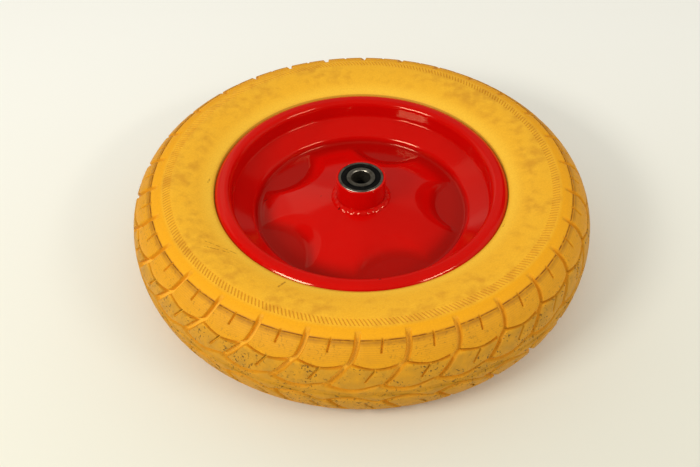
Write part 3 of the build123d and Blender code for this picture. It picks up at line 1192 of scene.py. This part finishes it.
    def draw_filling(self, drawing: Drawing) -> None:
        """Adds single points where the drawing is empty, clear of the cuts."""
        filling = [
            (x, y)
            for k, y in enumerate(np.arange(3.2, self.rim_at - 1, 3.0))
            for x in np.linspace(0, self.pitch, 12)[1:-1] + (k % 2) * 1.2
            if y < self.peak_at + 14 or k % 2 == 0
        ]
        filling += [(x, row) for row in self.bead_rows for x in np.linspace(0, self.pitch, 5)[1:-1]]
        places = np.array(filling)
        clear = self.stage(places[:, 0], places[:, 1])[0] < -0.6
        drawing.points.extend(map(tuple, places[clear]))

    def pitch_tile(self) -> tuple[Array, Array]:
        """The flat drawing of one pitch of the upper half, cut into triangles along every edge."""
        drawing = Drawing()
        self.draw_cuts(drawing)
        self.draw_rows(drawing)
        self.draw_filling(drawing)
        return drawing.triangles()

    def seam(self, across: Array, along: Array) -> dict[int, int]:
        """Pairs the points of the pitch's two sides, which meet on the tyre.

        Args:
            across: The drawing's points across.
            along: The same points along.

        Returns:
            For each point of the right side, the point of the left side at its height.
        """
        left_by_row = {round(float(along[k]) * 100): int(k) for k in np.nonzero(across < 1e-3)[0]}
        partner = {}
        for k in np.nonzero(across > self.pitch - 1e-3)[0]:
            row = round(float(along[k]) * 100)
            found = [left_by_row[row + d] for d in (0, -1, 1) if row + d in left_by_row]
            if not found:
                raise ValueError(f"the pitch's two sides differ at {along[k]:.3f}")
            partner[int(k)] = found[0]
        return partner

    def marks(self, across: Array, along: Array) -> dict[str, Array]:
        """Shares from 0 to 1 by which the foam's finish tells the parts of the tread.

        Args:
            across: The drawing's points across.
            along: The same points along.

        Returns:
            Each share's values by its name.
        """
        _, _, groove, slit = self.stage(across, along)
        foot = self.along_at(self.block_foot_height)
        return {
            "groove": groove,
            # Share of painted shade in the crack under the blocks' overhang.
            "crack": self.crack(along, groove) * (along < self.shoulder_at + self.crack_shade_reach),
            "slit": slit,
            "worn": smooth_share((foot + 1 - along) / 2) * (1 - groove),
            "block": smooth_share((along - foot) / 1.5) * (along < self.shoulder_at) * (1 - groove),
        }

    def build(self) -> bpy.types.Object:
        """Makes the tyre from its drawing, repeated round the axle and mirrored."""
        tile, triangles = self.pitch_tile()
        across, along = tile[:, 0], tile[:, 1]
        partner = self.seam(across, along)
        kept = np.array([k for k in range(len(tile)) if k not in partner])
        place = np.full(len(tile), -1)
        place[kept] = np.arange(len(kept))
        count = len(kept) * self.pitches
        upper_points, upper_normals, upper_faces = [], [], []
        for pitch in range(self.pitches):
            azimuth = self.phase + np.degrees(across / self.drawing_radius) + pitch * 360 / self.pitches
            upper_points.append(self.surface(azimuth[kept], along[kept]))
            upper_normals.append(surface_normals(self.surface, azimuth[kept], along[kept]))
            number = place + pitch * len(kept)
            for k, other in partner.items():
                number[k] = place[other] + ((pitch + 1) % self.pitches) * len(kept)
            upper_faces.append(number[triangles])
        points, normals, faces = (np.vstack(parts) for parts in (upper_points, upper_normals, upper_faces))
        flat = np.tile((along[kept] < 1e-4) | (along[kept] > self.meridian.length - 1e-4), self.pitches)
        normals[flat, 2] = 0
        normals /= np.linalg.norm(normals, axis=1, keepdims=True)
        mirrored = np.arange(count) + count
        mirrored[flat] = np.arange(count)[flat]
        faces = np.vstack((faces, mirrored[faces][:, ::-1]))
        used = np.unique(faces)
        renumber = np.full(2 * count, -1)
        renumber[used] = np.arange(len(used))
        all_points = np.vstack((points, points * FLIP))[used]
        all_normals = np.vstack((normals, normals * FLIP))[used]
        shares = self.marks(across, along)
        marks = {name: np.tile(values[kept], 2 * self.pitches)[used] for name, values in shares.items()}
        return make_piece("foam_tyre", all_points, renumber[faces], all_normals, marks)


WELD_TOE = Corner(22.7, 14.7)


@dataclass
class PressedRim:
    """One pressed half of the rim, with a star raised out of its disc."""

    sheet: float = 1.8
    face: tuple[Corner, ...] = (
        Corner(19.1, 1.8),
        Corner(81.8, 1.8, 2.6),
        Corner(84.3, 6.6, 5.0),
        Corner(99.8, 15.9, 2.2),
        Corner(99.8, 30.5, 4.5),
        Corner(109.5, 30.5, 6.0),
        Corner(112.3, 27.6, 2.3),
        Corner(112.3, 26.6),
    )
    star_points: int = 5
    star_phase: float = 19.3
    weld: Corner = WELD_TOE
    shoulder: Corner = Corner(63.0, 6.8)
    toe: Corner = Corner(77.0, 1.8)
    scoop_radius: float = 34.0
    scoop_centre: float = 92.0
    wall_slope: float = 0.68
    soft: float = 2.4
    foot_softness: float = 0.7
    fade_past_toe: float = 3.2
    fade_width: float = 3.0
    row_step: float = 1.1
    end_margin: float = 0.07
    columns: int = 300
    meridian: Meridian = field(init=False)

    def __post_init__(self) -> None:
        """Works out the turned face."""
        self.meridian = Meridian(bent_line(self.face, 6))

    def star(self, radius: Array, azimuth: Array) -> Array:
        """Height of the star over the middle plane."""
        gentle = (self.weld.height - self.shoulder.height) / (self.shoulder.radius - self.weld.radius)
        steep = (self.shoulder.height - self.toe.height) / (self.toe.radius - self.shoulder.radius)
        cone = self.shoulder.height + (self.shoulder.radius - radius) * gentle
        skirt = self.shoulder.height + (self.shoulder.radius - radius) * steep
        dome = soft_least(cone, skirt, self.soft)
        sector = 360 / self.star_points
        off = np.radians((azimuth - self.star_phase + sector / 2) % sector - sector / 2)
        from_scoop = np.hypot(radius * np.cos(off) - self.scoop_centre, radius * np.sin(off))
        wall = self.sheet + (from_scoop - self.scoop_radius) * self.wall_slope
        raised = soft_least(dome, wall, self.soft)
        return -soft_least(-raised, -np.full_like(raised, self.sheet), self.soft * self.foot_softness)

    def surface(self, azimuth: Array, along: Array) -> Array:
        """Points of the pressing's outer face."""
        radius, height = self.meridian.at(along)
        share = smooth_share((self.toe.radius + self.fade_past_toe - radius) / self.fade_width)
        star = self.star(radius, azimuth)
        return swept_place(radius, azimuth, height + (star - self.sheet).clip(0) * share)

    def faces(self, last: int) -> list[list[int]]:
        """Faces of the sheet's front, of its back and of the two edges that join them.

        Args:
            last: Number of the last row of points, counted from 0.

        Returns:
            The point numbers of each face, where the back's points follow the front's.
        """
        ring = self.columns
        behind = (last + 1) * ring
        faces = []
        for column in range(ring):
            beside = (column + 1) % ring
            for row in range(last):
                low, high = row * ring, (row + 1) * ring
                quad = [low + column, high + column, high + beside, low + beside]
                faces += [quad, [number + behind for number in quad[::-1]]]
            for row, turn in ((0, 1), (last, -1)):
                near, far = row * ring + column, row * ring + beside
                faces.append([near, far, far + behind, near + behind][::turn])
        return faces

    def build(self, side: Side) -> bpy.types.Object:
        """Makes one half as a closed sheet."""
        rows = self.meridian.rows(self.row_step)
        azimuths = np.arange(self.columns) * 360 / self.columns
        azimuth, along = (grid.ravel() for grid in np.meshgrid(azimuths, rows))
        front = self.surface(azimuth, along)
        inner = np.clip(along, self.end_margin, self.meridian.length - self.end_margin)
        normals = -surface_normals(self.surface, azimuth, inner)
        back = front - normals * self.sheet
        points, all_normals = np.vstack((front, back)), np.vstack((normals, -normals))
        faces = self.faces(len(rows) - 1)
        if side is Side.LOWER:
            points, all_normals, faces = points * FLIP, all_normals * FLIP, [face[::-1] for face in faces]
        return make_piece(f"pressed_rim_{side.word}", points, faces, all_normals)


@dataclass
class HubTube:
    """The tube through both pressings and its welds."""

    half_length: float = 34.0
    radius: float = 19.0
    wall: float = 3.0
    seat_radius: float = 17.5
    seat_depth: float = 11.0
    end_bend: float = 0.4
    seat_bend: float = 0.12
    weld_toe: Corner = WELD_TOE
    weld_top: float = 17.2
    weld_bulge: float = 0.75
    weld_lumps: int = 26
    weld_swell: float = 0.42
    weld_columns: int = 240

    def build_tube(self) -> bpy.types.Object:
        """Makes the tube, bored out at both ends."""
        inner, seat_z = self.radius - self.wall, self.half_length - self.seat_depth
        corners = [
            Corner(self.radius, -self.half_length, self.end_bend),
            Corner(self.radius, self.half_length, self.end_bend),
            Corner(self.seat_radius, self.half_length, self.seat_bend),
            Corner(self.seat_radius, seat_z, self.seat_bend),
            Corner(inner, seat_z, self.seat_bend),
            Corner(inner, -seat_z, self.seat_bend),
            Corner(self.seat_radius, -seat_z, self.seat_bend),
            Corner(self.seat_radius, -self.half_length, self.seat_bend),
        ]
        return turned_piece("hub_tube_painted", corners)

    def build_weld(self, side: Side) -> bpy.types.Object:
        """Makes a lumpy weld bead round the tube, its foot sunk a little into tube and disc."""
        foot = np.array((self.radius - 0.3, self.weld_toe.height - 0.6))
        toe = self.weld_toe.point + (0.5, -0.25)
        top = np.array((self.radius - 0.05, self.weld_top))
        arc = arc_points(toe, top, self.weld_bulge)
        line = Meridian(np.vstack((foot, arc, foot)))

        def surface(azimuth: Array, along: Array) -> Array:
            """Points of the bead."""
            along = along % line.length
            radius, height = line.at(along)
            first, last = line.lengths[1], line.lengths[-2]
            crest = np.clip((along - first) / (last - first), 0, 1)
            turn = np.radians(azimuth)
            ripple = np.cos(turn * self.weld_lumps + 0.9 * np.sin(3 * turn) + crest * 2.0)
            swell = 0.55 * ripple + 0.45 * np.sin(5 * turn + 1.1)
            lump = self.weld_swell * np.sin(crest * math.pi) * swell
            return swept_place(radius + lump * 0.7, azimuth, (height + lump * 0.7) * side.value)

        rows = line.rows(0.8)[:-1]
        return swept_grid(f"weld_{side.word}", surface, rows, self.weld_columns, flipped=side is Side.LOWER)


@dataclass(frozen=True)
class Lamp:
    """One flat lamp that faces the wheel, in millimetres and watts; gloss shows it where it is mirrored."""

    name: str
    way: tuple[float, float, float]
    size: tuple[float, float]
    distance: float
    power: float
    mirrored: bool = False
    colour: tuple[float, float, float] = (1.0, 0.985, 0.93)

    def hang(self) -> None:
        """Puts the lamp in the scene."""
        light = bpy.data.lights.new(self.name, "AREA")
        light.shape = "RECTANGLE"
        light.size, light.size_y = (length * MM for length in self.size)
        light.energy = self.power
        light.color = self.colour
        lamp = bpy.data.objects.new(self.name, light)
        bpy.context.scene.collection.objects.link(lamp)
        lamp.visible_glossy = self.mirrored
        lamp.location = Vector(self.way).normalized() * self.distance * MM
        lamp.rotation_mode = "QUATERNION"
        lamp.rotation_quaternion = (-lamp.location).to_track_quat("-Z", "Y")


@dataclass
class Studio:
    """Floor, lights and camera."""

    floor_height: float = -38.6
    floor_half: float = 6000.0
    view_transform: str = "Standard"
    camera_place: tuple[float, float, float] = (0.0, -507.9, 477.4)
    focal_pixels: float = 880.0
    picture: tuple[int, int] = (700, 467)
    aim_height: float = 30.5
    aim_pixel: tuple[float, float] = (361.12, 180.32)
    roll: float = -0.22
    sensor: float = 36.0
    sky_colour: LinearColour = (1.0, 0.99, 0.955, 1.0)
    sky_strength: float = 0.585
    lamps: tuple[Lamp, ...] = (
        Lamp("overhead_panel", (0.0, 0.0, 1.0), (2400, 2400), 1300, 1.6, True),
        Lamp("left_panel", (-0.85, 0.1, 0.5), (1000, 800), 1300, 0.7),
        Lamp("back_left_panel", (-0.6, 0.65, 0.5), (1000, 800), 1300, 0.55, True),
        Lamp("back_panel", (0.0, 0.85, 0.5), (1200, 800), 1300, 0.45, True),
        Lamp("right_panel", (0.85, 0.1, 0.5), (1000, 800), 1300, 0.55, True),
        Lamp("left_lamp", (-0.6, -0.5, 0.6), (440, 220), 1150, 5.6, True),
        Lamp("right_lamp", (0.63, -0.4, 0.62), (400, 120), 1150, 2.0, True),
    )

    def build_floor(self) -> None:
        """Lays the paper that the wheel lies on."""
        half, z = self.floor_half, self.floor_height
        corners = np.array(((-half, -half, z), (half, -half, z), (half, half, z), (-half, half, z)))
        floor = make_piece("paper_floor", corners, [(0, 1, 2, 3)])
        dress(floor, StudioPaper().material())

    def build_camera(self) -> None:
        """Puts the camera where the wheel's outlines place it."""
        lens = bpy.data.cameras.new("camera")
        lens.sensor_width = self.sensor
        lens.lens = self.focal_pixels * self.sensor / self.picture[0]
        lens.clip_start, lens.clip_end = 0.01, 50
        camera = bpy.data.objects.new("camera", lens)
        bpy.context.scene.collection.objects.link(camera)
        bpy.context.scene.camera = camera
        bpy.context.scene.view_settings.view_transform = self.view_transform
        place = Vector(self.camera_place) * MM
        target = Vector((0, 0, self.aim_height * MM))
        right = (self.aim_pixel[0] - self.picture[0] / 2) / self.focal_pixels
        up = (self.picture[1] / 2 - self.aim_pixel[1]) / self.focal_pixels
        look = (target - place).to_track_quat("-Z", "Y").to_matrix()
        shift = Vector((right, up, -1)).rotation_difference(Vector((0, 0, -1))).to_matrix()
        turn = look @ shift @ Matrix.Rotation(math.radians(self.roll), 3, "Z")
        camera.matrix_world = Matrix.Translation(place) @ turn.to_4x4()

    def build_sky(self) -> None:
        """Surrounds the scene with the pale inside of a light tent, which gloss doesn't show."""
        world = bpy.data.worlds.new("light_tent")
        bpy.context.scene.world = world
        world.use_nodes = True
        background = world.node_tree.nodes["Background"]
        background.inputs["Color"].default_value = self.sky_colour
        background.inputs["Strength"].default_value = self.sky_strength
        world.cycles_visibility.glossy = False

    def build(self) -> None:
        """Sets up everything that isn't the wheel."""
        self.build_floor()
        self.build_camera()
        self.build_sky()
        for lamp in self.lamps:
            lamp.hang()


@dataclass
class Wheel:
    """The whole wheel, piece by piece."""

    tyre: FoamTyre = field(default_factory=FoamTyre)
    rim: PressedRim = field(default_factory=PressedRim)
    hub: HubTube = field(default_factory=HubTube)

    def build(self, nodes: Mapping[str, bpy.types.Object]) -> None:
        """Builds, dresses and seats every piece.

        Args:
            nodes: The frame's own pieces by name.
        """
        skin, enamel = FoamSkin().material(), Enamel().material()
        tyre = self.tyre.build()
        dress(tyre, skin)
        seat(tyre, "wheel", ["tyre"])
        for side in Side:
            half = self.rim.build(side)
            dress(half, enamel)
            seat(half, "wheel", [f"rim_half_{side.word}"])
            weld = self.hub.build_weld(side)
            dress(weld, enamel)
            seat(weld, "wheel", [f"weld_bead_{side.word}"])
        tube = self.hub.build_tube()
        dress(tube, enamel)
        seat(tube, "wheel", ["hub_tube"])
        self.dress_bearings(nodes)

    def dress_bearings(self, nodes: Mapping[str, bpy.types.Object]) -> None:
        """Gives the bearings' and the sleeve's own solids their finishes."""
        ring = TurnedSteel("ground_ring_steel").material()
        ball_finish = TurnedSteel("polished_ball_steel", (214, 214, 216), (190, 190, 192), roughness=0.08)
        cage_finish = TurnedSteel("pressed_cage_steel", (168, 166, 160), (120, 116, 108), roughness=0.36)
        ball, cage = ball_finish.material(), cage_finish.material()
        seal = SealRubber().material()
        finishes = {"ring": ring, "balls": ball, "cage": cage, "seal": seal, "sleeve": cage}
        for name, node in nodes.items():
            for word, finish in finishes.items():
                if word in name and not node.hide_render:
                    dress(node, finish)


def main() -> None:
    """Builds the scene."""
    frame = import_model()
    Studio().build()
    Wheel().build(frame["nodes"])


if __name__ == "__main__":
    logging.basicConfig(level=logging.INFO, format="%(name)s: %(message)s")
    main()
